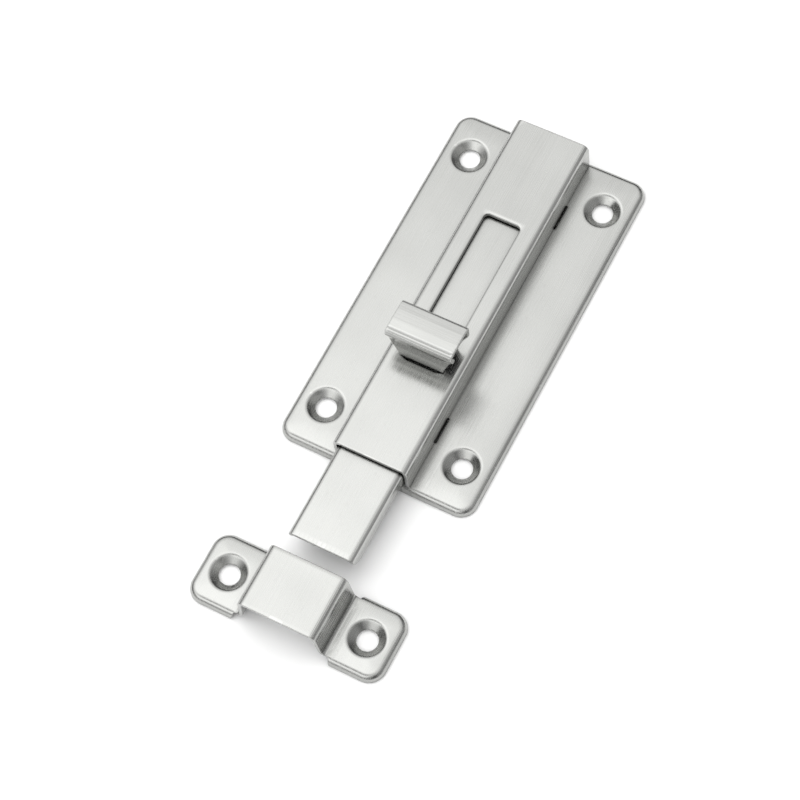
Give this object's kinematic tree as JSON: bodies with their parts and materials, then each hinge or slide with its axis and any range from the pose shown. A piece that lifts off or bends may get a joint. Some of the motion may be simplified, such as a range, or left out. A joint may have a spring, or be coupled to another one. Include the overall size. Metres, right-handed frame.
{
  "type": "barrel bolt",
  "caption": "Flat sheet-steel barrel bolt: a channel bolt with a folded finger grip slides in a slotted cover on a pressed plate and passes through a separate raised keeper.",
  "frame": {"origin": "centre of the plate's four-screw pattern, on the back plane of the base plate where it rests on the door", "axes": "+X is the way the bolt is thrown, towards the keeper; +Y is across the plate; +Z points away from the door"},
  "size_m": [0.1463, 0.053, 0.0227],
  "materials": {
    "plate_steel": "satin, grain along the bolt",
    "cover_steel": "satin, grain along the bolt",
    "bolt_steel": "satin, grain along the bolt",
    "knob_steel": "satin, grain across the grip",
    "spring_steel": "plain cold-rolled",
    "keeper_steel": "satin"
  },
  "bodies": {
    "plate": {"base_plate": "plate_steel", "cover": "cover_steel"},
    "bolt": {"sliding_bolt": "bolt_steel", "knob": "knob_steel", "friction_spring": "spring_steel"},
    "keeper": {"keeper": "keeper_steel"}
  },
  "joints": [
    {"name": "bolt_slide", "type": "slide", "parent": "plate", "child": "bolt", "axis": [1, 0, 0], "range_m": [-0.0356, 0]},
    {"name": "keeper_slide", "type": "slide", "parent": "plate", "child": "keeper", "axis": [1, 0, 0], "range_m": [-0.027, 0]}
  ]
}
